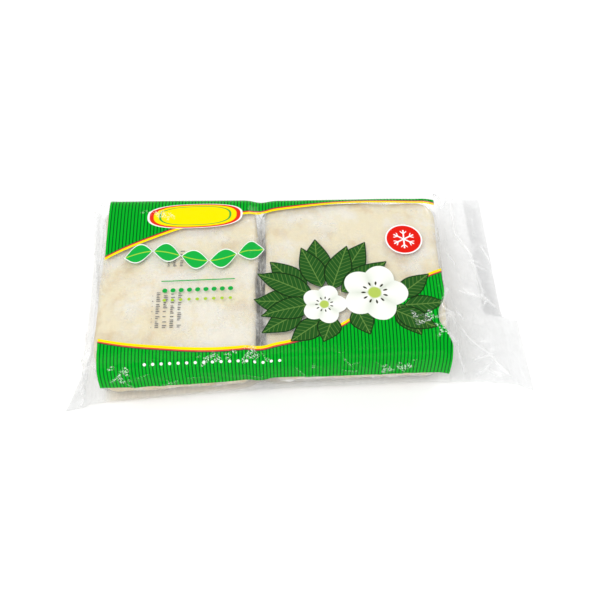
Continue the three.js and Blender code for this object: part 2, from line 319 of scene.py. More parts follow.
def pulp_slab(name, stack, level, seed):
    """A slab with the coarse lumps and the fine grain of frozen pulp pressed against film."""
    points = slab_rows(stack, slab_middle(stack, level), 0.0, [])
    normals = surface_normals(points)
    outward = np.sign((normals * (points - points.mean(axis=(0, 1)))).sum())
    steep = 1 - np.abs(normals[..., 2])
    lumps = 0.30 * soft_noise(points, 19.0, seed) + 0.16 * soft_noise(points, 7.0, seed + 1)
    in_gap = smoothstep(10.0, 5.0, np.abs(points[..., 0] - GAP_MIDDLE))
    sides = steep * (1 + in_gap) * (1.2 * soft_noise(points * (1, 1, 0.4), 18.0, seed + 3) - 0.8)
    grain = 0.07 * soft_noise(points, 2.4, seed + 2)
    relief = (lumps + sides + grain - 0.35)[..., None]
    return closed_tube(name, points + outward * normals * relief, {"slab_side": steep})


pulp_pieces = {}
for label, stack, level in sachet_places():
    pulp_pieces[label] = pulp_slab(f"{label}_frozen_slab", stack, level, seed=11 + 7 * len(pulp_pieces))
    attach(pulp_pieces[label], "root")
    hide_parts(f"{label}_pulp_block")
print("slabs:", list(pulp_pieces))

# %% [markdown]
# ## Sachet film
#
# The sachets are thin clear film that shrank onto the pulp as it froze. It shows as faint wrinkles
# over the slabs and as a crinkled fin where the webs are welded. The fin lies flat against the slab,
# so only its edge stands out. In the gap between the stacks the film is more crumpled and whiter.

# %% Sachets
SACHET_REACH = GAP + 0.2
FIN_WIDTH = 0.7
FIN_PROFILE = [
    # how far out and how high: out along the lower web of film, and back along the upper one
    (0.05, -0.15),
    (0.25, -0.12),
    (0.5, -0.08),
    (FIN_WIDTH, 0.0),
    (0.5, 0.08),
    (0.25, 0.12),
    (0.05, 0.15),
]


def sachet(name, stack, level, seed):
    """Film round a slab. The fin waves up and down along its edge, more at its outer side."""
    middle = slab_middle(stack, level)
    points = slab_rows(stack, middle, SACHET_REACH, FIN_PROFILE)
    normals = surface_normals(points)
    outward = np.sign((normals * (points - points.mean(axis=(0, 1)))).sum())
    from_middle = np.abs(points[..., 2] - middle) / (stack["thickness"] / 2)
    wrinkles = 0.12 * soft_noise(points * (1, 1, 0.3), 5.0, seed)
    wrinkles += 0.08 * np.abs(soft_noise(points, 9.0, seed + 1))
    points = points + outward * normals * (wrinkles * smoothstep(0.3, 0.8, from_middle))[..., None]
    first_fin = FLAT_ROWS + EDGE_ROWS - 1
    fin_end = first_fin + len(FIN_PROFILE)
    for offset, (width, _lift) in enumerate(FIN_PROFILE):
        row = points[first_fin + offset]
        share = width / FIN_WIDTH
        wave = 3.4 * soft_noise(row, 7.0, seed + 3) + 1.5 * soft_noise(row, 2.8, seed + 4)
        away = row[:, :2] - np.mean(stack["corners"], axis=0)
        away /= np.linalg.norm(away, axis=1, keepdims=True)
        row[:, 2] += 0.6 * wave * share**1.5
        row[:, :2] += away * (0.4 * soft_noise(row * (1, 1, 0), 9.0, seed + 5) * share)[:, None]
    in_gap = smoothstep(8.0, 4.0, np.abs(points[..., 0] - GAP_MIDDLE))
    near_fin = in_gap * smoothstep(9.0, 3.0, np.abs(points[..., 2] - middle))
    near_fin[first_fin:fin_end] = 0.5 + 0.5 * in_gap[first_fin:fin_end]
    return closed_tube(name, points, {"film_fin": near_fin})


sachet_pieces = {}
for label, stack, level in sachet_places():
    sachet_pieces[label] = sachet(f"{label}_sachet_film", stack, level, seed=101 + 9 * len(sachet_pieces))
    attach(sachet_pieces[label], "root")
    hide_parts(f"{label}_sachet_top_web", f"{label}_sachet_bottom_web")
print("sachets:", list(sachet_pieces))

# %% [markdown]
# ## Shape of the bag
#
# The bag is one tube of film. A cross-section of it has a fold at the front and a fold at the back.
# Over the stacks it is nearly a rectangle, and in the flap it is a flat lens. A superellipse gives
# both: its exponent says how square the shoulders are. The table holds the sections, and a smooth
# curve through each column gives all the sections between them.

# %% Sections of the bag
BAG_SECTIONS = [
    # front fold (x, y, z), back fold (x, y, z), top, squareness, bow, lean of the front and back wall
    (-143.5, -69, 0.7, -140, 84, 5, 1.2, 2.2, 11.6, 0, 0),
    (-138.2, -67.5, 0.9, -137, 82, 5.5, 1.6, 2.2, 7.8, 0, 0),
    (-132, -66.5, 1.6, -134, 79, 6.5, 8, 2.6, 3.6, 0, 2),
    (-129.6, -65.5, 4, -132, 76, 8, 27, 4.5, 2, 2, 6),
    (-126, -64.6, 7, -128, 73, 9.5, 37.4, 8, 0, 3, 6),
    (-116, -63.8, 8.5, -118, 70.5, 11, 39.8, 10, 0, 3.5, 5),
    (-76, -60.9, 9.5, -76, 69.5, 12, 39.9, 10, 0, 3.5, 4),
    (-36, -58.2, 9.5, -36, 69, 12, 39.8, 10, 0, 3.5, 4),
    (-24.2, -57.2, 9.5, -24.2, 69, 12, 36.6, 9, 0, 2.6, 3.4),
    (-13, -56.7, 9.5, -13, 69, 12, 38.2, 10, 0, 2.4, 3.4),
    (34, -55.6, 9.5, 34, 69.5, 12, 38.3, 10, 0, 2.6, 4.6),
    (78, -54.2, 8, 78, 74, 12, 38.2, 10, 0, 2.4, 12),
    (89, -54.6, 6, 88, 78, 11.5, 35.8, 8.5, 0, 2, 14),
    (94, -54.4, 4, 92.5, 82, 10.5, 25, 5, 0, 2.4, 13),
    (101, -54.2, 2, 96, 88, 8.5, 11, 3.2, 0, 2, 10),
    (109, -54.2, 1.5, 101, 94.5, 6, 4.6, 2.6, 0, 0, 3),
    (121, -55, 1.3, 112, 95.5, 4, 2.8, 2.4, 0, 0, 0),
    (132, -56.5, 1.2, 125.6, 91.5, 3.2, 2.4, 2.2, -1, 0, 0),
]
FLAP_START = 14
BOW_SKEW = 0.75
BOW_POWER = 1.5
SHOULDER_POWER = 4
FLAP_BACK_RISE = 2.2
FLAP_RISE_SHARE = (0.2, 0.6)
PRESSED_FLOOR = -0.25
LAYER_GAP = 0.35


def smooth_through(knots, at):
    """A smooth value through equally spaced knots, with slopes that never overshoot them."""
    knots = np.asarray(knots, float)
    slope = np.diff(knots)
    before, after = slope[:-1], slope[1:]
    same = before * after > 0
    tangent = np.zeros(len(knots))
    tangent[1:-1][same] = 2 * before[same] * after[same] / (before[same] + after[same])
    index = np.minimum(at.astype(int), len(knots) - 2)
    t = at - index
    start = (2 * t**3 - 3 * t**2 + 1) * knots[index] + (t**3 - 2 * t**2 + t) * tangent[index]
    end = (-2 * t**3 + 3 * t**2) * knots[index + 1] + (t**3 - t**2) * tangent[index + 1]
    return start + end


def bag_section_rings(at, columns):
    """Superellipse rings of the bag at the places at, as points[row, column, xyz]."""
    columns_of_table = [smooth_through(column, at)[:, None] for column in zip(*BAG_SECTIONS)]
    fx, fy, fz, bx, by, bz, top, square, bow, lean_front, lean_back = columns_of_table
    angle = np.linspace(0.5 * math.pi, 2.5 * math.pi, columns, endpoint=False)[None, :]
    across = np.sign(np.cos(angle)) * np.abs(np.cos(angle)) ** (2 / square)
    up = np.sign(np.sin(angle)) * np.abs(np.sin(angle)) ** (2 / square)
    share = (1 + across) / 2
    fold = fz + (bz - fz) * share
    ceiling = np.maximum(top, fold + LAYER_GAP)
    along_flap = smoothstep(FLAP_START, len(BAG_SECTIONS) - 1, at)[:, None]
    rise = (FLAP_BACK_RISE - PRESSED_FLOOR) * along_flap * smoothstep(*FLAP_RISE_SHARE, share)
    floor = np.minimum(PRESSED_FLOOR + rise, fold - LAYER_GAP)
    height = np.where(up > 0, fold + up * (ceiling - fold), fold + up * (fold - floor))
    x = fx + (bx - fx) * share + bow * np.abs(np.sin(math.pi * share**BOW_SKEW)) ** BOW_POWER
    leaning = np.maximum(up, 0) ** SHOULDER_POWER
    front, back = fy + leaning * lean_front, by - leaning * lean_back
    return np.stack([x, front + (back - front) * share, np.maximum(height, 0.0)], axis=-1)


print("sections in the table:", len(BAG_SECTIONS))

# %% [markdown]
# Rows and columns are then spread evenly: the rows by the distance along the top, and the columns by
# the distance round each ring. Those two distances are also kept on the mesh. They are the
# coordinates that the printer used on the flat film, so the print bends with the bag. The distance
# along is set equal to x in the middle of the left stack, to make the print easy to place.

# %% Even grid of the bag
ROWS = 320
COLUMNS = 296
FINE_ROWS = 3000
FINE_COLUMNS = 1440
LEFT_STACK_X = -76.0


def even_rows():
    """Places in the table that are evenly spaced along the middle of the bag's top."""
    at = np.linspace(0, len(BAG_SECTIONS) - 1, FINE_ROWS)
    top_line = bag_section_rings(at, 4)[:, 0, :]
    length = np.concatenate([[0], np.cumsum(np.linalg.norm(np.diff(top_line, axis=0), axis=1))])
    wanted = np.linspace(0, length[-1], ROWS)
    return np.interp(wanted, length, at), wanted


def even_columns(rings):
    """The rings again with evenly spaced points, and the distance of each from the top's middle."""
    closed = np.concatenate([rings, rings[:, :1]], axis=1)
    step = np.linalg.norm(np.diff(closed, axis=1), axis=-1)
    length = np.concatenate([np.zeros((len(rings), 1)), np.cumsum(step, axis=1)], axis=1)
    points = np.empty((len(rings), COLUMNS, 3))
    across = np.empty((len(rings), COLUMNS))
    for row in range(len(rings)):
        wanted = np.linspace(0, length[row, -1], COLUMNS, endpoint=False)
        for axis in range(3):
            points[row, :, axis] = np.interp(wanted, length[row], closed[row, :, axis])
        across[row] = np.where(wanted > length[row, -1] / 2, wanted - length[row, -1], wanted)
    return points, across


places, distance_along = even_rows()
bag_points, film_across = even_columns(bag_section_rings(places, FINE_COLUMNS))
stack_distance = np.interp(LEFT_STACK_X, bag_points[:, 0, 0], distance_along)
film_along = np.repeat((distance_along - stack_distance + LEFT_STACK_X)[:, None], COLUMNS, axis=1)
print("girth of the film tube (mm):", round(float(2 * np.abs(film_across).max()), 1))

# %% [markdown]
# ## Wrinkles
#
# Film can't stretch, so all its spare length goes into straight ridges that start at corners and die
# out. A ridge is a line with a sharp crest that falls off on both sides. The main ones follow the
# photograph, and many small ones are strewn with a seed. The crest's own width says how broad the
# white line of a crease is, whatever the width of the ridge.

# %% Ridges
CREST_WIDTH = 1.0


def ridge(plan, start, end, height, width):
    """A ridge from start to end, as its height and how sharply the film is creased.

    The height falls off as exp(-distance / width), and both go to nothing at the ridge's ends.
    """
    start, end = np.array(start, float), np.array(end, float)
    direction = end - start
    length = np.linalg.norm(direction)
    direction /= length
    offset = plan - start
    along = offset @ direction
    across = offset @ np.array([-direction[1], direction[0]])
    inside = np.clip(np.minimum(along, length - along) / (0.3 * length), 0, 1)
    fade = inside * inside * (3 - 2 * inside)
    relief = height * np.exp(-np.abs(across) / width) * fade
    # The crest later whitens the film at creases, partly as a painted highlight, and places painted glints.
    crest = abs(height) * np.exp(-((across / CREST_WIDTH) ** 2)) * fade
    return np.stack([relief, crest], axis=-1)


FLAP_RIDGES = [
    # start (x, y), end (x, y), height, width: the film's long folds in the flap
    ((104, 96), (106, 52), 3.2, 5.0),
    ((105, 60), (117, 36), 3.0, 3.5),
    ((115, 40), (120, -2), 3.4, 4.0),
    ((118, 6), (128, -2), 2.2, 2.5),
    ((100, 12), (117, 6), 1.6, 2.5),
    ((121, 52), (129, 30), 2.4, 3.0),
    ((112, 34), (127, 26), 1.6, 2.2),
    ((96, -18), (120, -38), 2.4, 3.0),
    ((116, -34), (131, -54), 2.2, 2.4),
    ((104, -42), (124, -34), 1.8, 2.0),
    ((106, -52), (122, -40), 1.4, 1.8),
    ((112, -46), (128, -53), 1.5, 1.6),
    ((90, 78), (112, 88), 2.6, 4.0),
    ((92, 40), (104, 30), 1.8, 3.0),
    ((90, -8), (106, -14), 1.8, 3.0),
]
CORNER_RIDGES = [
    # darts that start at the corners of the stacks
    ((88, -44), (101, -53), 2.6, 2.6),
    ((84, -20), (97, -44), 2.2, 3.0),
    ((80, -46), (92, -20), 1.8, 3.0),
    ((-120, -48), (-136, -62), 2.6, 3.0),
    ((-124, -30), (-139, -64), 2.0, 2.4),
    ((-122, -56), (-138, -68), 1.8, 2.0),
    ((-126, 20), (-134, 30), 1.2, 2.0),
    ((-124, 54), (-137, 78), 2.0, 3.0),
    ((91, 66), (102, 90), 2.0, 3.0),
    ((66, -36), (84, -29), 1.6, 1.8),
    ((80, -31), (98, -24), 2.0, 2.2),
    ((78, -33), (96, -50), 2.2, 2.2),
    ((83, -28), (92, 0), 1.6, 2.4),
]


# The sharp crests of these crumples also carry the painted glints of the film material.
CRUMPLES = [
    # corners (along, across) of the small areas where the film is crumpled sharply
    ((-97, -53), (-80, -46)),
    ((-60, 55), (-38, 62)),
    ((-34, 51), (-27, 60)),
    ((50, 65), (66, 73)),
    ((-110, 61), (-103, 74)),
    ((64, 30), (80, 38)),
]


def strewn_ridges(plan, count, low, high, length, height, width, seed):
    """Many short ridges at random places between two corners low and high of a rectangle."""
    rng = np.random.default_rng(seed)
    total = np.zeros(plan.shape[:-1] + (2,))
    for _ in range(count):
        start = rng.uniform(low, high)
        turn = rng.uniform(0, math.pi)
        reach = rng.uniform(*length)
        end = start + reach * np.array([math.cos(turn), math.sin(turn)])
        total += ridge(plan, start, end, rng.uniform(*height) * rng.choice([-0.5, 1.0]), rng.uniform(*width))
    return total


def wrinkle_heights(points, along, across):
    """Height of all wrinkles over the smooth bag, and how sharply the film is creased there."""
    plan = points[..., :2]
    upper = smoothstep(0.0, 0.5, surface_normals(points)[..., 2] * NORMAL_SIGN)[..., None]
    free = sum(ridge(plan, *item) for item in FLAP_RIDGES + CORNER_RIDGES)
    free += strewn_ridges(plan, 80, (96, -56), (136, 90), (8, 30), (0.15, 0.8), (0.8, 2.2), 5)
    free += strewn_ridges(plan, 40, (-142, -68), (-120, 80), (6, 18), (0.3, 0.9), (0.7, 1.6), 6)
    film_plan = np.stack([along, across], axis=-1)
    held = strewn_ridges(film_plan, 110, (-120, 56), (90, 98), (6, 24), (0.25, 0.8), (0.7, 2.0), 7)
    held += 0.6 * strewn_ridges(film_plan, 150, (-120, -60), (90, 60), (6, 24), (0.08, 0.4), (0.6, 1.6), 8)
    held += 0.6 * strewn_ridges(film_plan, 60, (-34, -56), (-18, 52), (7, 22), (0.3, 1.0), (0.6, 1.3), 10)
    for seed, (low, high) in enumerate(CRUMPLES, 20):
        held += strewn_ridges(film_plan, 16, low, high, (2.5, 8), (0.9, 1.8), (0.5, 0.9), seed)
    off_stack = smoothstep(3.0, 8.0, points[..., 2])[..., None]
    wrinkles = upper * free + off_stack * held
    in_flap = smoothstep(95, 105, points[..., 0]) * upper[..., 0]
    broad = 0.5 * soft_noise(points * (1, 1, 0), 30.0, 9) * in_flap
    off_ground = smoothstep(0.2, 2.0, points[..., 2])
    return (wrinkles[..., 0] + broad) * off_ground, wrinkles[..., 1]


middle_of_bag = bag_points.mean(axis=(0, 1))
NORMAL_SIGN = np.sign((surface_normals(bag_points) * (bag_points - middle_of_bag)).sum())
heights, sharpness = wrinkle_heights(bag_points, film_along, film_across)
wrinkled = bag_points + NORMAL_SIGN * surface_normals(bag_points) * heights[..., None]
wrinkled[..., 2] = np.maximum(wrinkled[..., 2], 0.0)
print("highest wrinkle (mm):", round(float(heights.max()), 2))

# %% [markdown]
# ## Seal band
#
# Both ends of the tube are welded flat in a band about 10 mm wide. At the right end the band lies
# flat in front, but further back it is folded under the flap. The step between the two parts is a
# short slanting fold.

# %% Right seal band
BAND_ROWS = 14
BAND_WIDTH = 10.5
FOLD_SHARE = 0.34
FOLD_SOFTNESS = 0.025
TURN_SHARE = 0.25
FRONT_REACH = 4.5
LAYER_HALF = 0.12
BAND_HEIGHT = 0.5


def seal_band(last_ring):
    """Rows that go on from the last ring: straight out in front, and round and under at the back."""
    step = np.linspace(0, 1, BAND_ROWS + 1)[1:, None]
    share = (last_ring[:, 1] - last_ring[:, 1].min()) / np.ptp(last_ring[:, 1])
    layer = np.sign(np.sin(np.linspace(0.5 * math.pi, 2.5 * math.pi, len(last_ring), endpoint=False)))
    middle_height = smooth_mid_height(last_ring, share)
    out_x = last_ring[:, 0] + BAND_WIDTH * step * (1 + 0.02 * share)
    out_z = middle_height * (1 - step) + BAND_HEIGHT * step + 0.25 * np.sin(step * 9 + share * 30)
    turn = np.clip(step / TURN_SHARE, 0, 1) * math.pi
    back = np.clip((step - TURN_SHARE) / (1 - TURN_SHARE), 0, 1)
    under_x = last_ring[:, 0] + 1.2 * np.sin(turn) - BAND_WIDTH * 0.95 * back
    under_z = middle_height + 0.5 * (middle_height - BAND_HEIGHT) * (np.cos(turn) - 1)
    folded = smoothstep(FOLD_SHARE - FOLD_SOFTNESS, FOLD_SHARE + FOLD_SOFTNESS, share + 0.0 * step)
    turned_over = folded * (step > TURN_SHARE / 2)
    x = out_x + (under_x - out_x) * folded
    z = out_z + (under_z - out_z) * folded + LAYER_HALF * layer * (1 - 2 * turned_over)
    forward = FRONT_REACH * step * np.clip(1 - share / FOLD_SHARE, 0, 1)
    y = np.repeat(last_ring[None, :, 1], BAND_ROWS, axis=0) - forward
    return np.stack([x, y, np.maximum(z, 0.05)], axis=-1)


def smooth_mid_height(ring, share):
    """Height half way between the two layers: a straight line from the front fold to the back one."""
    front_height = ring[share < 0.02, 2].mean()
    back_height = ring[share > 0.98, 2].mean()
    return np.interp(share, [0, 1], [front_height, back_height])


sample_row, sample_column = ROWS // 2, 10
sample_forward = bag_points[sample_row, 0, 1] - bag_points[sample_row, sample_column, 1]
FRONT_SIGN = np.sign(film_across[sample_row, sample_column] * sample_forward)
band = seal_band(wrinkled[-1])
film_points = np.concatenate([wrinkled, band])
band_along = film_along[-1, 0] + BAND_WIDTH * np.linspace(0, 1, BAND_ROWS + 1)[1:, None]
film_along_all = np.concatenate([film_along, np.repeat(band_along, COLUMNS, axis=1)])
film_across_all = np.concatenate([film_across, np.repeat(film_across[-1:], BAND_ROWS, axis=0)])
sharp_all = np.concatenate([sharpness, np.zeros((BAND_ROWS, COLUMNS))])
toward_front = film_across_all * FRONT_SIGN
printed = smoothstep(-80, -76, toward_front) * smoothstep(100, 96, toward_front)
place_x, place_y, place_z = np.moveaxis(film_points, -1, 0)
in_band = np.arange(len(film_points))[:, None] >= ROWS
in_fold = smoothstep(-6.0, -4.0, place_y)
weld = np.maximum(0.2 * smoothstep(-135, -138, place_x), in_band * (0.1 + 0.9 * in_fold))
free_film = np.maximum(smoothstep(89, 99, place_x), smoothstep(-121, -128, place_x))
at_foot = smoothstep(10, 4, place_z) * smoothstep(70, 80, toward_front)
free_film = np.maximum(free_film, at_foot)
free_film = free_film * (1.3 - 0.9 * smoothstep(-30, 70, place_y) * (place_x > 0))
on_stacks = smoothstep(-124, -116, place_x) * smoothstep(92, 86, place_x)
film_foot = smoothstep(97, 100, toward_front) * on_stacks
bag_film = closed_tube(
    "bag_film",
    film_points,
    {
        "film_along": film_along_all,
        "film_across": toward_front,
        "film_printed": printed,
        "film_crease": np.clip(sharp_all / 1.5, 0, 1),
        "film_weld": weld,
        "film_free": free_film,
        "film_foot": film_foot,
    },
    flat=True,
)
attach(bag_film, "root")
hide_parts("outer_bag")
print("bag film:", len(bag_film.data.polygons), "faces")

# %% [markdown]
# ## Small tools for node materials
#
# A node tree is easier to read as a sum than as a list of links. These helpers add one node and
# return its output, and they take either a number or another node's output.

# %% Node helpers
def wire(tree, socket, value):
    """Sets an input socket to a number or links it to another socket."""
    if isinstance(value, bpy.types.NodeSocket):
        tree.links.new(value, socket)
    else:
        socket.default_value = value


def calc(tree, operation, *values, clamp=False):
    """One Math node."""
    node = tree.nodes.new("ShaderNodeMath")
    node.operation = operation
    node.use_clamp = clamp
    for socket, value in zip(node.inputs, values):
        wire(tree, socket, value)
    return node.outputs[0]


def band_mask(tree, value, low, high, soft):
    """1 where value lies between low and high, with soft edges."""
    return calc(tree, "MULTIPLY", ramp(tree, value, low, soft), below(tree, value, high, soft))


def ramp(tree, value, edge, soft):
    """0 below the edge and 1 above it, over a width of soft."""
    offset = calc(tree, "SUBTRACT", value, edge)
    return calc(tree, "ADD", calc(tree, "DIVIDE", offset, soft), 0.5, clamp=True)


def below(tree, value, edge, soft):
    """1 below the edge and 0 above it, over a width of soft."""
    return calc(tree, "SUBTRACT", 1.0, ramp(tree, value, edge, soft))


def hypotenuse(tree, dx, dy):
    """Length of the step (dx, dy)."""
    return calc(tree, "SQRT", calc(tree, "MULTIPLY_ADD", dx, dx, calc(tree, "MULTIPLY", dy, dy)))


def blend_colour(tree, share, under, over):
    """Mixes two colours by a share."""
    node = tree.nodes.new("ShaderNodeMix")
    node.data_type = "RGBA"
    wire(tree, node.inputs["Factor"], share)
    wire(tree, node.inputs["A"], under)
    wire(tree, node.inputs["B"], over)
    return node.outputs["Result"]


def attribute(tree, name):
    """A value stored on the mesh."""
    node = tree.nodes.new("ShaderNodeAttribute")
    node.attribute_name = name
    return node.outputs["Fac"]


def noise(tree, vector, scale, detail, roughness=0.5, output="Fac"):
    """A noise texture."""
    node = tree.nodes.new("ShaderNodeTexNoise")
    node.inputs["Scale"].default_value = scale
    node.inputs["Detail"].default_value = detail
    node.inputs["Roughness"].default_value = roughness
    tree.links.new(vector, node.inputs["Vector"])
    return node.outputs[output]


def curve(tree, value, low, high, points):
    """A smooth curve through (value, result) points, for value between low and high."""
    share = calc(tree, "DIVIDE", calc(tree, "SUBTRACT", value, low), high - low, clamp=True)
    node = tree.nodes.new("ShaderNodeFloatCurve")
    track = node.mapping.curves[0]
    results = [y for _, y in points]
    bottom, top = min(results) - 1, max(results) + 1
    placed = [((x - low) / (high - low), (y - bottom) / (top - bottom)) for x, y in points]
    track.points[0].location = placed[0]
    track.points[-1].location = placed[-1]
    for location in placed[1:-1]:
        track.points.new(*location)
    node.mapping.update()
    wire(tree, node.inputs["Value"], share)
    return calc(tree, "ADD", calc(tree, "MULTIPLY", node.outputs[0], top - bottom), bottom)


def group_with(name, inputs, outputs):
    """An empty node group with float inputs, and outputs given as (name, socket type)."""
    group = bpy.data.node_groups.new(name, "ShaderNodeTree")
    for label in inputs:
        group.interface.new_socket(label, in_out="INPUT", socket_type="NodeSocketFloat")
    for label, kind in outputs:
        group.interface.new_socket(label, in_out="OUTPUT", socket_type=kind)
    return group, group.nodes.new("NodeGroupInput").outputs, group.nodes.new("NodeGroupOutput").inputs


def use_group(tree, group, **values):
    """Places a node group and sets or links its inputs."""
    node = tree.nodes.new("ShaderNodeGroup")
    node.node_tree = group
    for label, value in values.items():
        wire(tree, node.inputs[label.replace("_", " ")], value)
    return node.outputs


def add_bump(tree, shader, height, strength, distance):
    """Fine relief that tilts the shading without moving the surface."""
    bump = tree.nodes.new("ShaderNodeBump")
    bump.inputs["Strength"].default_value = strength
    bump.inputs["Distance"].default_value = distance
    tree.links.new(height, bump.inputs["Height"])
    tree.links.new(bump.outputs["Normal"], shader.inputs["Normal"])


def new_material(name):
    """An empty node material and its Principled shader."""
    material = bpy.data.materials.new(name)
    material.use_nodes = True
    tree = material.node_tree
    return material, tree, tree.nodes["Principled BSDF"]


# %% [markdown]
# ## Frozen pulp
#
# White fruit pulp freezes to a cream slab. Where it touches the film it is smooth and a little
# translucent, so it looks tan. Where air got in, frost makes it white and dull. Two noises, a broad
# one and a fine one, place the three tones. The steep sides get more of the darker tan: this is partly
# the pulp's own tan and partly painted shade, which stands in for the shade in the gap between the stacks.

# %% Pulp material
PULP_CREAM = (0.76, 0.68, 0.47, 1)
# the tan of the pulp, also laid on the steep sides as painted shade
PULP_TAN_AND_SIDE_SHADE = (0.60, 0.44, 0.22, 1)
FROST_WHITE = (0.78, 0.755, 0.68, 1)


def pulp_material():
    """Cream pulp with tan blotches and patches of dull white frost; the sides get more tan, partly painted
    shade.
    """
    material, tree, shader = new_material("frozen_pulp")
    place = tree.nodes.new("ShaderNodeTexCoord").outputs["Object"]
    broad = noise(tree, place, 30.0, 6.0, 0.62)
    fine = noise(tree, place, 210.0, 6.0, 0.7)
    blotch = noise(tree, place, 52.0, 4.0, 0.6)
    frost = ramp(tree, calc(tree, "MULTIPLY_ADD", fine, 0.35, broad), 0.70, 0.13)
    tan_and_side_shade = ramp(tree, calc(tree, "MULTIPLY_ADD", fine, 0.25, blotch), 0.70, 0.14)
    # Steep sides are tinted towards the darker tan: partly the pulp's own tan, partly painted shade of the
    # gap.
    side = ramp(tree, attribute(tree, "slab_side"), 0.5, 0.6)
    tan_and_side_shade = calc(tree, "MULTIPLY", tan_and_side_shade, calc(tree, "MULTIPLY_ADD", side, 0.5, 0.5))
    tan_and_side_shade = calc(tree, "MULTIPLY_ADD", side, 0.42, tan_and_side_shade, clamp=True)
    colour = blend_colour(tree, tan_and_side_shade, PULP_CREAM, PULP_TAN_AND_SIDE_SHADE)
    colour = blend_colour(tree, calc(tree, "MULTIPLY", frost, 0.75), colour, FROST_WHITE)
    tree.links.new(colour, shader.inputs["Base Color"])
    tree.links.new(calc(tree, "MULTIPLY_ADD", frost, 0.3, 0.45), shader.inputs["Roughness"])
    add_bump(tree, shader, fine, 0.6, 0.0007)
    shader.inputs["Subsurface Weight"].default_value = 0.25
    shader.inputs["Subsurface Radius"].default_value = (0.004, 0.003, 0.002)
    shader.inputs["Subsurface Scale"].default_value = 0.6
    return material


def dress(piece, material):
    """Gives a piece its one material."""
    piece.data.materials.clear()
    piece.data.materials.append(material)


frozen_pulp = pulp_material()
for piece in pulp_pieces.values():
    dress(piece, frozen_pulp)
print("pulp material on", len(pulp_pieces), "slabs")

# %% [markdown]
# ## Look of the sachet film
#
# Thin film is clear, but frost and tiny wrinkles scatter light. The alpha is low over the slab and
# rises in frosty patches and at the welded fins. A batch mark of short black strokes is printed on
# one corner by an inkjet, drawn here as rows of plain dashes.

# %% Sachet material
MARK_AREAS = [((-90.0, -34.0), (-70.0, -8.0)), ((-82.0, 11.0), (-70.0, 24.0))]
MARK_COLUMN, MARK_STROKE = 4.4, 1.25
MARK_HEIGHT = 30.0
MARK_BLACK = (0.012, 0.012, 0.012, 1)
SACHET_WHITE = (0.93, 0.93, 0.91, 1)


def mark_group():
    """Columns of short strokes, some of them left out by a random number for each stroke."""
    group, given, result = group_with("batch_mark", ("X", "Y", "Z"), (("Mask", "NodeSocketFloat"),))
    column = calc(group, "DIVIDE", given["X"], MARK_COLUMN)
    stroke = calc(group, "DIVIDE", given["Y"], MARK_STROKE)
    cell = group.nodes.new("ShaderNodeCombineXYZ")
    group.links.new(calc(group, "FLOOR", column), cell.inputs[0])
    group.links.new(calc(group, "FLOOR", stroke), cell.inputs[1])
    luck = group.nodes.new("ShaderNodeTexWhiteNoise")
    group.links.new(cell.outputs[0], luck.inputs["Vector"])
    length = calc(group, "MULTIPLY_ADD", luck.outputs["Value"], 0.35, 0.25)
    in_column = calc(group, "FRACT", column)
    before_end = ramp(group, calc(group, "SUBTRACT", length, in_column), -0.1, 0.05)
    wide = calc(group, "MULTIPLY", ramp(group, in_column, 0.1, 0.05), before_end)
    tall = band_mask(group, calc(group, "FRACT", stroke), 0.2, 0.75, 0.15)
    kept = ramp(group, luck.outputs["Value"], 0.22, 0.01)
    areas = 0.0
    for (low_x, low_y), (high_x, high_y) in MARK_AREAS:
        in_x = band_mask(group, given["X"], low_x, high_x, 0.1)
        in_y = band_mask(group, given["Y"], low_y, high_y, 0.1)
        areas = calc(group, "MAXIMUM", areas, calc(group, "MULTIPLY", in_x, in_y))
    mask = calc(group, "MULTIPLY", calc(group, "MULTIPLY", wide, tall), calc(group, "MULTIPLY", kept, areas))
    on_top = ramp(group, given["Z"], MARK_HEIGHT, 1.0)
    group.links.new(calc(group, "MULTIPLY", mask, on_top), result["Mask"])
    return group


def sachet_material():
    """Clear film with frosty patches, whiter at the fins and in the gap, and the batch mark."""
    material, tree, shader = new_material("sachet_film")
    place = tree.nodes.new("ShaderNodeTexCoord").outputs["Object"]
    patches = noise(tree, place, 45.0, 4.0, 0.6)
    streaks = noise(tree, place, 130.0, 5.0, 0.7)
    haze = ramp(tree, calc(tree, "MULTIPLY_ADD", streaks, 0.4, patches), 0.76, 0.2)
    alpha = calc(tree, "MULTIPLY_ADD", haze, 0.34, 0.04)
    crumple = ramp(tree, streaks, 0.5, 0.12)
    fin_haze = calc(tree, "MULTIPLY_ADD", crumple, 0.4, 0.04)
    alpha = calc(tree, "MULTIPLY_ADD", attribute(tree, "film_fin"), fin_haze, alpha)
    in_mm = tree.nodes.new("ShaderNodeVectorMath")
    in_mm.operation = "MULTIPLY_ADD"
    tree.links.new(place, in_mm.inputs[0])
    in_mm.inputs[1].default_value = (1 / MM, 1 / MM, 1 / MM)
    in_mm.inputs[2].default_value = tuple(-SHIFT)
    split = tree.nodes.new("ShaderNodeSeparateXYZ")
    tree.links.new(in_mm.outputs[0], split.inputs[0])
    mark = use_group(tree, mark_group(), X=split.outputs[0], Y=split.outputs[1], Z=split.outputs[2])["Mask"]
    alpha = calc(tree, "MAXIMUM", alpha, calc(tree, "MULTIPLY", mark, 0.92), clamp=True)
    tree.links.new(blend_colour(tree, mark, SACHET_WHITE, MARK_BLACK), shader.inputs["Base Color"])
    shader.inputs["IOR"].default_value = 1.9
    shader.inputs["Roughness"].default_value = 0.2
    tree.links.new(alpha, shader.inputs["Alpha"])
    add_bump(tree, shader, streaks, 0.5, 0.001)
    return material


sachet_film = sachet_material()
for piece in sachet_pieces.values():
    dress(piece, sachet_film)
print("sachet film on", len(sachet_pieces), "sachets")

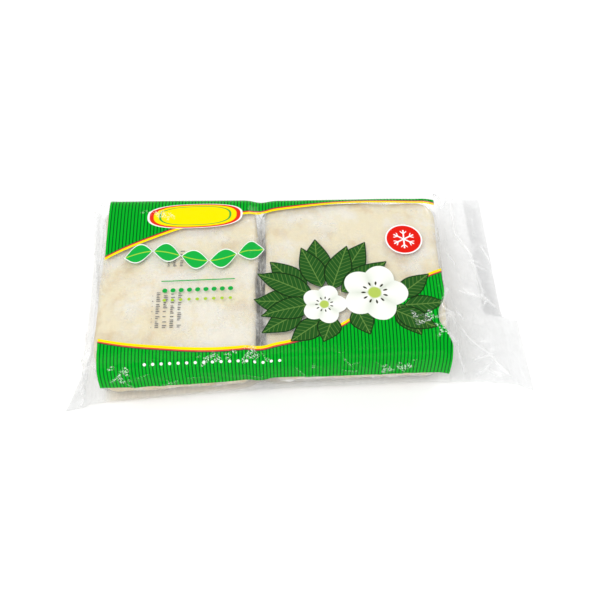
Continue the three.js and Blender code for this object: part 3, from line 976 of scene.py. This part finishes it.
# %% [markdown]
# ## Print of the bag
#
# The film is printed with a green band along the front and one along the back. Both have fine dark
# pinstripes and an edge of yellow, red and black lines. The design is a plain one of the usual
# kind for fruit. Positions are the two film coordinates: along the bag, and across it from the
# middle of its top towards the front.

# %% Print group
PRINT_LEFT, PRINT_RIGHT = -121.0, 92.0
STRIPE_PITCH = 2.1
BLOSSOM_DOTS = 11
WHITE_INK = (0.9, 0.9, 0.9, 1)
RED_INK = (0.72, 0.03, 0.01, 1)
YELLOW_INK = (0.95, 0.74, 0.0, 1)
THIN_GREEN_INK = (0.008, 0.36, 0.05, 1)


def leaf_group():
    """A leaf from its stem at (X, Y): its width follows a sine, and its side veins slant."""
    group, given, result = group_with(
        "printed_leaf",
        ("Place X", "Place Y", "X", "Y", "Angle", "Length", "Width"),
        (("Mask", "NodeSocketFloat"), ("Vein", "NodeSocketFloat"), ("Rim", "NodeSocketFloat")),
    )
    dx = calc(group, "SUBTRACT", given["Place X"], given["X"])
    dy = calc(group, "SUBTRACT", given["Place Y"], given["Y"])
    cosine, sine = calc(group, "COSINE", given["Angle"]), calc(group, "SINE", given["Angle"])
    p = calc(group, "MULTIPLY_ADD", dx, cosine, calc(group, "MULTIPLY", dy, sine))
    q = calc(group, "SUBTRACT", calc(group, "MULTIPLY", dy, cosine), calc(group, "MULTIPLY", dx, sine))
    share = calc(group, "DIVIDE", p, given["Length"], clamp=True)
    bulge = calc(group, "SINE", calc(group, "MULTIPLY", calc(group, "POWER", share, 0.8), math.pi))
    half_width = calc(group, "MULTIPLY", bulge, given["Width"])
    side = calc(group, "ABSOLUTE", q)
    within = calc(group, "MULTIPLY", share, given["Length"])
    beyond = calc(group, "ABSOLUTE", calc(group, "SUBTRACT", p, within))
    room = calc(group, "SUBTRACT", calc(group, "SUBTRACT", half_width, side), beyond)
    midrib = below(group, side, 0.3, 0.3)
    slanting = calc(group, "MULTIPLY_ADD", side, -0.9, p)
    side_vein = band_mask(group, calc(group, "FRACT", calc(group, "DIVIDE", slanting, 3.2)), 0.0, 0.16, 0.1)
    vein = calc(group, "MAXIMUM", midrib, calc(group, "MULTIPLY", side_vein, 0.7))
    group.links.new(ramp(group, room, 0.25, 0.3), result["Mask"])
    group.links.new(vein, result["Vein"])
    group.links.new(ramp(group, room, -0.6, 0.4), result["Rim"])
    return group


def blossom_group():
    """A round blossom: five petals by a cosine of the angle, a ring of dark dots and a pale green eye."""
    group, given, result = group_with(
        "printed_blossom",
        ("Place X", "Place Y", "X", "Y", "Radius"),
        (("Mask", "NodeSocketFloat"), ("Colour", "NodeSocketColor")),
    )
    dx = calc(group, "SUBTRACT", given["Place X"], given["X"])
    dy = calc(group, "SUBTRACT", given["Place Y"], given["Y"])
    distance = hypotenuse(group, dx, dy)
    turn = calc(group, "ARCTAN2", dy, dx)
    lobe = calc(group, "ABSOLUTE", calc(group, "COSINE", calc(group, "MULTIPLY", turn, 2.5)))
    edge = calc(group, "MULTIPLY", given["Radius"], calc(group, "MULTIPLY_ADD", lobe, 0.24, 0.76))
    share = calc(group, "DIVIDE", distance, given["Radius"])
    fold = calc(group, "MULTIPLY", calc(group, "SUBTRACT", 1.0, lobe), calc(group, "SUBTRACT", 1.1, share))
    shade = calc(group, "MULTIPLY", fold, 0.7, clamp=True)
    petal = blend_colour(group, shade, (0.86, 0.87, 0.82, 1), (0.42, 0.50, 0.36, 1))
    eye = below(group, share, 0.2, 0.05)
    petal = blend_colour(group, eye, petal, (0.42, 0.55, 0.10, 1))
    dot_pitch = 2 * math.pi / BLOSSOM_DOTS
    dot_share = calc(group, "FRACT", calc(group, "MULTIPLY", turn, 1 / dot_pitch))
    dot_x = calc(group, "MULTIPLY", calc(group, "SUBTRACT", dot_share, 0.5), dot_pitch)
    dot_y = calc(group, "MULTIPLY", calc(group, "SUBTRACT", share, 0.33), 1.3)
    dot = hypotenuse(group, dot_x, dot_y)
    dark = below(group, dot, 0.09, 0.03)
    petal = blend_colour(group, dark, petal, (0.03, 0.03, 0.015, 1))
    group.links.new(ramp(group, calc(group, "SUBTRACT", edge, distance), 0.0, 0.3), result["Mask"])
    group.links.new(petal, result["Colour"])
    return group


printed_leaf = leaf_group()
printed_blossom = blossom_group()
print("nodes in a leaf and in a blossom:", len(printed_leaf.nodes), len(printed_blossom.nodes))

# %% [markdown]
# The motifs are laid out on the flat film. A spray of dark leaves lies round two pale blossoms, a
# garland of small leaves runs over the left stack, and a yellow oval and a red disc with a snowflake
# stand above them. A snowflake is the usual sign for frozen food. A thin rule and rows of beads fill
# the places between. A repeated motif is drawn once and repeated by the fraction of a distance.

# %% Layout of the print
SPRAY = [
    # stem (x, y), angle in degrees, length, half width
    ((4, -16), 132, 32, 8.5),
    ((12, -10), 92, 34, 9.0),
    ((24, -10), 60, 36, 9.0),
    ((2, -24), 172, 30, 8.5),
    ((2, -30), 208, 28, 7.5),
    ((8, -18), 152, 38, 7.5),
    ((10, -24), 192, 34, 7.5),
    ((14, -12), 112, 32, 7.5),
    ((20, -14), 72, 34, 8.0),
    ((26, -16), 38, 36, 8.0),
    ((14, -36), 216, 24, 7.0),
    ((20, -34), 250, 18, 7.0),
    ((34, -28), 292, 20, 7.0),
    ((60, -26), 300, 24, 7.5),
    ((60, -20), 40, 26, 6.5),
    ((64, -26), 4, 24, 6.0),
    ((58, -30), 332, 26, 7.0),
]
BLOSSOMS = [((46, -17), 20.5), ((15, -25), 14.0)]
GARLAND_START, GARLAND_END, GARLAND_PITCH, GARLAND_Y = -109.0, -21.0, 17.6, 14.0
RULE_ENDS, RULE_Y = (-85.0, -40.0), -5.0
BEAD_ROWS = [(-12.0, 1.6, THIN_GREEN_INK), (-19.0, 1.1, (0.35, 0.55, 0.03, 1))]
BEAD_PITCH = 5.0
WHITE_BEADS_ENDS, WHITE_BEADS_ACROSS = (-95.0, -10.0), 62.0
WHITE_BEAD_RADIUS = 0.9
OVAL_CENTRE, OVAL_HALF = (-66.0, 46.0), (29.0, 10.0)
DISC_CENTRE, DISC_RADIUS = (67.0, 24.0), 11.8


def ink(tree, state, mask, colour):
    """Prints one colour where mask is 1, over what is there: state is (colour, cover)."""
    below, cover = state
    return blend_colour(tree, mask, below, colour), calc(tree, "MAXIMUM", cover, mask)


def printed_oval(tree, state, x, y):
    """A yellow oval with a red rim and a thin green line inside it."""
    dx = calc(tree, "DIVIDE", calc(tree, "SUBTRACT", x, OVAL_CENTRE[0]), OVAL_HALF[0])
    dy = calc(tree, "DIVIDE", calc(tree, "SUBTRACT", y, OVAL_CENTRE[1]), OVAL_HALF[1])
    reach = calc(tree, "POWER", calc(tree, "ABSOLUTE", dx), 2.6)
    reach = calc(tree, "ADD", reach, calc(tree, "POWER", calc(tree, "ABSOLUTE", dy), 2.6))
    rim = ((1.12, (0.9, 0.9, 0.88, 1)), (1.0, RED_INK), (0.78, YELLOW_INK))
    line = ((0.55, (0.006, 0.36, 0.045, 1)), (0.47, YELLOW_INK))
    for size, colour in rim + line:
        state = ink(tree, state, below(tree, reach, size, 0.05), colour)
    return state


def printed_disc(tree, state, x, y):
    """A red disc in a white ring, with a snowflake: one arm, repeated six times by the angle."""
    dx = calc(tree, "SUBTRACT", x, DISC_CENTRE[0])
    dy = calc(tree, "SUBTRACT", y, DISC_CENTRE[1])
    distance = hypotenuse(tree, dx, dy)
    state = ink(tree, state, below(tree, distance, DISC_RADIUS, 0.2), WHITE_INK)
    state = ink(tree, state, below(tree, distance, DISC_RADIUS - 1.0, 0.2), (0.70, 0.012, 0.006, 1))
    turn = calc(tree, "FRACT", calc(tree, "MULTIPLY", calc(tree, "ARCTAN2", dy, dx), 3 / math.pi))
    turn = calc(tree, "MULTIPLY", calc(tree, "SUBTRACT", turn, 0.5), math.pi / 3)
    across_arm = calc(tree, "ABSOLUTE", calc(tree, "MULTIPLY", distance, calc(tree, "SINE", turn)))
    along_arm = calc(tree, "MULTIPLY", distance, calc(tree, "COSINE", turn))
    arm_length = band_mask(tree, along_arm, 0.0, 7.2, 0.3)
    arm = calc(tree, "MULTIPLY", below(tree, across_arm, 0.45, 0.2), arm_length)
    twig_place = calc(tree, "ADD", across_arm, 4.2)
    twig_offset = calc(tree, "ABSOLUTE", calc(tree, "SUBTRACT", along_arm, twig_place))
    twig_length = below(tree, across_arm, 2.0, 0.2)
    twig = calc(tree, "MULTIPLY", below(tree, twig_offset, 0.45, 0.2), twig_length)
    return ink(tree, state, calc(tree, "MAXIMUM", arm, twig), (0.92, 0.92, 0.92, 1))


def printed_garland(tree, state, x, y):
    """A row of small leaves that tilt up and down in turn: one leaf, repeated along the bag."""
    along = calc(tree, "SUBTRACT", x, GARLAND_START)
    share = calc(tree, "FRACT", calc(tree, "DIVIDE", along, GARLAND_PITCH))
    wave = calc(tree, "SINE", calc(tree, "MULTIPLY", along, math.pi / (2 * GARLAND_PITCH)))
    middle = calc(tree, "MULTIPLY_ADD", wave, 4.5, GARLAND_Y)
    side = calc(tree, "ABSOLUTE", calc(tree, "SUBTRACT", y, middle))
    width = calc(tree, "MULTIPLY", calc(tree, "SINE", calc(tree, "MULTIPLY", share, math.pi)), 7.4)
    room = calc(tree, "SUBTRACT", width, side)
    inside = band_mask(tree, x, GARLAND_START, GARLAND_END, 0.2)
    for edge, colour in ((0.1, (0.88, 0.9, 0.86, 1)), (0.9, (0.008, 0.40, 0.05, 1))):
        state = ink(tree, state, calc(tree, "MULTIPLY", ramp(tree, room, edge, 0.3), inside), colour)
    in_leaf = calc(tree, "MULTIPLY", inside, ramp(tree, room, 1.2, 0.2))
    midrib = calc(tree, "MULTIPLY", below(tree, side, 0.35, 0.2), in_leaf)
    return ink(tree, state, midrib, (0.35, 0.62, 0.05, 1))


def printed_beads(tree, state, x, y, ends, middle, radius, colour):
    """A row of round beads: one bead, repeated along the bag between two ends."""
    share = calc(tree, "FRACT", calc(tree, "DIVIDE", x, BEAD_PITCH))
    dx = calc(tree, "MULTIPLY", calc(tree, "SUBTRACT", share, 0.5), BEAD_PITCH)
    dy = calc(tree, "SUBTRACT", y, middle)
    distance = hypotenuse(tree, dx, dy)
    bead = below(tree, distance, radius, 0.25)
    return ink(tree, state, calc(tree, "MULTIPLY", bead, band_mask(tree, x, *ends, 0.1)), colour)


def printed_rule(tree, state, x, y):
    """A thin green line with a row of green beads and one of yellow-green beads below it."""
    from_middle = calc(tree, "ABSOLUTE", calc(tree, "SUBTRACT", y, RULE_Y))
    between_ends = band_mask(tree, x, *RULE_ENDS, 0.2)
    line = calc(tree, "MULTIPLY", below(tree, from_middle, 0.4, 0.2), between_ends)
    state = ink(tree, state, line, THIN_GREEN_INK)
    for middle, radius, colour in BEAD_ROWS:
        state = printed_beads(tree, state, x, y, RULE_ENDS, middle, radius, colour)
    return state


# (along, across) of the curves that bound each band: its inner edge and its outer end
FRONT_EDGE = [(-125, 46), (-90, 53), (-40, 56), (10, 48), (50, 22), (95, -2)]
FRONT_END = [(-125, 79), (-60, 82), (-10, 79), (20, 79.5), (60, 78.5), (95, 77)]
BACK_EDGE = [(-125, -14), (-95, -30), (-55, -44), (0, -54), (40, -58), (95, -57)]
BACK_END = [(-125, -80), (-40, -76), (10, -67), (60, -61), (95, -59.5)]
# (from, to, colour) of the lines along a band's inner edge, by the distance from it
EDGE_LINES = [
    (-3.1, -1.3, (0.95, 0.72, 0.0, 1)),
    (-1.3, -0.5, RED_INK),
    (-0.5, 0.1, (0.02, 0.03, 0.02, 1)),
]
# (across, along) of the print's right end, as a distance from a straight cut
RIGHT_END = [(-60, 0), (-2, -2.8), (12, -3.2), (24, -5.5), (35, -9), (46, -5.5), (60, -1.5), (80, -2)]


def printed_bands(tree, along, across):
    """The green bands with pinstripes and their edge lines."""
    front_edge = curve(tree, along, -125, 95, FRONT_EDGE)
    front_end = curve(tree, along, -125, 95, FRONT_END)
    back_edge = curve(tree, along, -125, 95, BACK_EDGE)
    back_end = curve(tree, along, -125, 95, BACK_END)
    stripe_place = calc(tree, "FRACT", calc(tree, "DIVIDE", along, STRIPE_PITCH))
    stripe = band_mask(tree, stripe_place, 0.12, 0.44, 0.12)
    green = blend_colour(tree, stripe, (0.0, 0.40, 0.016, 1), (0.0, 0.09, 0.01, 1))
    front_offset = calc(tree, "SUBTRACT", across, front_edge)
    back_offset = calc(tree, "SUBTRACT", back_edge, across)
    above_end = below(tree, across, front_end, 0.2)
    front = calc(tree, "MULTIPLY", ramp(tree, front_offset, 0.0, 0.2), above_end)
    before_back_end = ramp(tree, calc(tree, "SUBTRACT", across, back_end), 0.0, 0.2)
    back = calc(tree, "MULTIPLY", ramp(tree, back_offset, 0.0, 0.2), before_back_end)
    state = (green, calc(tree, "MAXIMUM", front, back))
    for offset in (front_offset, back_offset):
        for low, high, tone in EDGE_LINES:
            state = ink(tree, state, band_mask(tree, offset, low, high, 0.15), tone)
    return state


def print_group():
    """Node group that turns film coordinates into the print's colour and its cover (1 where inked)."""
    group, given, result = group_with(
        "bag_print", ("Along", "Across"), (("Colour", "NodeSocketColor"), ("Cover", "NodeSocketFloat"))
    )
    along, across = given["Along"], given["Across"]
    y = calc(group, "MULTIPLY", across, -1.0)
    state = printed_bands(group, along, across)
    for stem, degrees, length, width in SPRAY:
        leaf = use_group(
            group, printed_leaf, Place_X=along, Place_Y=y, X=stem[0], Y=stem[1],
            Angle=math.radians(degrees), Length=length, Width=width,
        )
        state = ink(group, state, leaf["Rim"], (0.008, 0.03, 0.006, 1))
        green = blend_colour(group, leaf["Vein"], (0.018, 0.09, 0.014, 1), (0.12, 0.24, 0.05, 1))
        state = ink(group, state, leaf["Mask"], green)
    for centre, radius in BLOSSOMS:
        blossom = use_group(
            group, printed_blossom, Place_X=along, Place_Y=y, X=centre[0], Y=centre[1], Radius=radius,
        )
        state = ink(group, state, blossom["Mask"], blossom["Colour"])
    state = printed_garland(group, state, along, y)
    state = printed_rule(group, state, along, y)
    state = printed_beads(
        group, state, along, across, WHITE_BEADS_ENDS, WHITE_BEADS_ACROSS, WHITE_BEAD_RADIUS, WHITE_INK,
    )
    state = printed_oval(group, state, along, y)
    state = printed_disc(group, state, along, y)
    colour, cover = state
    end = calc(group, "MULTIPLY", curve(group, across, -60, 80, RIGHT_END), ramp(group, along, 40, 60))
    inside = band_mask(group, calc(group, "SUBTRACT", along, end), PRINT_LEFT, PRINT_RIGHT, 0.2)
    group.links.new(colour, result["Colour"])
    group.links.new(calc(group, "MULTIPLY", cover, inside), result["Cover"])
    return group


bag_print = print_group()
print("print nodes:", len(bag_print.nodes))

# %% [markdown]
# ## Film of the bag
#
# The bag's film is clear with a faint grey veil. Creases and pleats are whiter and less clear: partly
# the scatter of creased film, partly a painted highlight. Sharp creases also get small painted glints,
# on the print as well. Film that hangs free in the flap is greyer than film that clings to a sachet.
# The folded seal is made fainter, because several layers lie there in one place and their veils add
# up. At the foot of the front wall the film takes the colour of the pulp behind it. Where ink covers
# the film it is opaque.

# %% Bag film material
FILM_GREY = (0.68, 0.69, 0.69, 1)
# white of creased film: partly its own scatter, partly a painted highlight
CREASE_WHITE_AND_HIGHLIGHT = (0.97, 0.98, 0.98, 1)
# painted glint: white that stands in for the lamps' reflection in sharp creases
PAINTED_GLINT_WHITE = (0.92, 0.93, 0.93, 1)
FOOT_TINT = (0.98, 0.88, 0.71, 1)


def bag_film_material():
    """Clear film whose alpha grows in haze, pleats and creases, with print, partly painted highlight and
    painted glints.
    """
    material, tree, shader = new_material("bag_film")
    along, across = attribute(tree, "film_along"), attribute(tree, "film_across")
    crease, weld = attribute(tree, "film_crease"), attribute(tree, "film_weld")
    film_place = tree.nodes.new("ShaderNodeCombineXYZ")
    tree.links.new(along, film_place.inputs[0])
    tree.links.new(across, film_place.inputs[1])
    printed = use_group(tree, bag_print, Along=along, Across=across)
    cover = calc(tree, "MULTIPLY", printed["Cover"], attribute(tree, "film_printed"))
    streaks = noise(tree, film_place.outputs[0], 0.12, 6.0, 0.62)
    stretched = tree.nodes.new("ShaderNodeVectorMath")
    stretched.operation = "MULTIPLY"
    tree.links.new(film_place.outputs[0], stretched.inputs[0])
    stretched.inputs[1].default_value = (0.35, 0.05, 0.0)
    pleat_haze_and_sheen = ramp(tree, noise(tree, stretched.outputs[0], 1.0, 4.0, 0.6), 0.56, 0.22)
    haze = ramp(tree, streaks, 0.56, 0.3)
    hanging = calc(tree, "MULTIPLY_ADD", pleat_haze_and_sheen, 0.05, 0.055)
    free_alpha = calc(tree, "MULTIPLY", attribute(tree, "film_free"), hanging)
    clear_alpha = calc(tree, "ADD", calc(tree, "MULTIPLY_ADD", haze, 0.07, 0.07), free_alpha)
    clear_alpha = calc(tree, "MULTIPLY_ADD", crease, 0.24, clear_alpha)
    foot = attribute(tree, "film_foot")
    clear_alpha = calc(tree, "MULTIPLY_ADD", foot, 0.35, clear_alpha)
    clear_alpha = calc(tree, "MULTIPLY", clear_alpha, calc(tree, "MULTIPLY_ADD", weld, -0.93, 1.0))
    alpha = calc(tree, "MAXIMUM", cover, clear_alpha, clamp=True)
    # Creases and pleat noise are painted whiter: partly the scatter of creased film, partly a painted
    # highlight.
    white = calc(tree, "MAXIMUM", crease, calc(tree, "MULTIPLY", pleat_haze_and_sheen, 0.7))
    film = blend_colour(tree, white, FILM_GREY, CREASE_WHITE_AND_HIGHLIGHT)
    film = blend_colour(tree, calc(tree, "MULTIPLY", foot, 0.85), film, FOOT_TINT)
    colour = blend_colour(tree, cover, film, printed["Colour"])
    # Painted glints: white flecks on sharp creases, over the print too, stand in for reflections of the
    # lamps.
    painted_glint_flecks = ramp(tree, noise(tree, film_place.outputs[0], 1.1, 3.0, 0.7), 0.55, 0.08)
    glint = calc(tree, "MULTIPLY", ramp(tree, crease, 0.5, 0.5), calc(tree, "MULTIPLY", painted_glint_flecks, 0.85))
    colour = blend_colour(tree, glint, colour, PAINTED_GLINT_WHITE)
    tree.links.new(colour, shader.inputs["Base Color"])
    tree.links.new(alpha, shader.inputs["Alpha"])
    shader.inputs["Roughness"].default_value = 0.13
    shader.inputs["IOR"].default_value = 1.5
    tree.links.new(calc(tree, "MULTIPLY_ADD", cover, -0.95, 1.0), shader.inputs["Specular IOR Level"])
    add_bump(tree, shader, streaks, 0.5, 0.0012)
    return material


dress(bag_film, bag_film_material())
print("bag film material:", bag_film.data.materials[0].name)

# %% [markdown]
# ## Floor and light
#
# A product photo on white has a white floor and big soft lights. One large lamp hangs over the bag
# at the front left, and a lower one in front lights its front wall. A small lamp behind it, on the
# right, picks out the creases of the film.

# %% Stage
FLOOR_HALF = 3.0
FLOOR_DROP = 0.0005


def make_floor():
    """A large pale floor under the bag."""
    mesh = bpy.data.meshes.new("floor")
    corners = [(x * FLOOR_HALF, y * FLOOR_HALF, -FLOOR_DROP) for x, y in ((-1, -1), (1, -1), (1, 1), (-1, 1))]
    mesh.from_pydata(corners, [], [(0, 1, 2, 3)])
    floor = bpy.data.objects.new("floor", mesh)
    bpy.context.collection.objects.link(floor)
    material, tree, shader = new_material("pale_floor")
    shader.inputs["Base Color"].default_value = (0.97, 0.97, 0.97, 1)
    shader.inputs["Roughness"].default_value = 0.9
    shader.inputs["Specular IOR Level"].default_value = 0.1
    dress(floor, material)
    return floor


def add_lamp(name, place, size, power):
    """A square soft lamp aimed at the bag."""
    data = bpy.data.lights.new(name, "AREA")
    data.size = size
    data.energy = power
    lamp = bpy.data.objects.new(name, data)
    lamp.location = place
    lamp.rotation_euler = (-Vector(place)).to_track_quat("-Z", "Y").to_euler()
    bpy.context.collection.objects.link(lamp)
    return lamp


floor = make_floor()
add_lamp("key_lamp", (-0.45, -0.35, 1.25), 1.1, 11.0)
add_lamp("front_fill", (0.2, -1.3, 0.35), 0.8, 4.0)
add_lamp("glint_lamp", (0.55, 1.1, 0.62), 0.35, 5.0)
world = bpy.data.worlds.new("white_room")
world.use_nodes = True
world.node_tree.nodes["Background"].inputs["Color"].default_value = (1, 1, 1, 1)
world.node_tree.nodes["Background"].inputs["Strength"].default_value = 0.62
bpy.context.scene.world = world
bpy.context.scene.view_settings.view_transform = "Standard"
print("lamps:", len(bpy.data.lights))
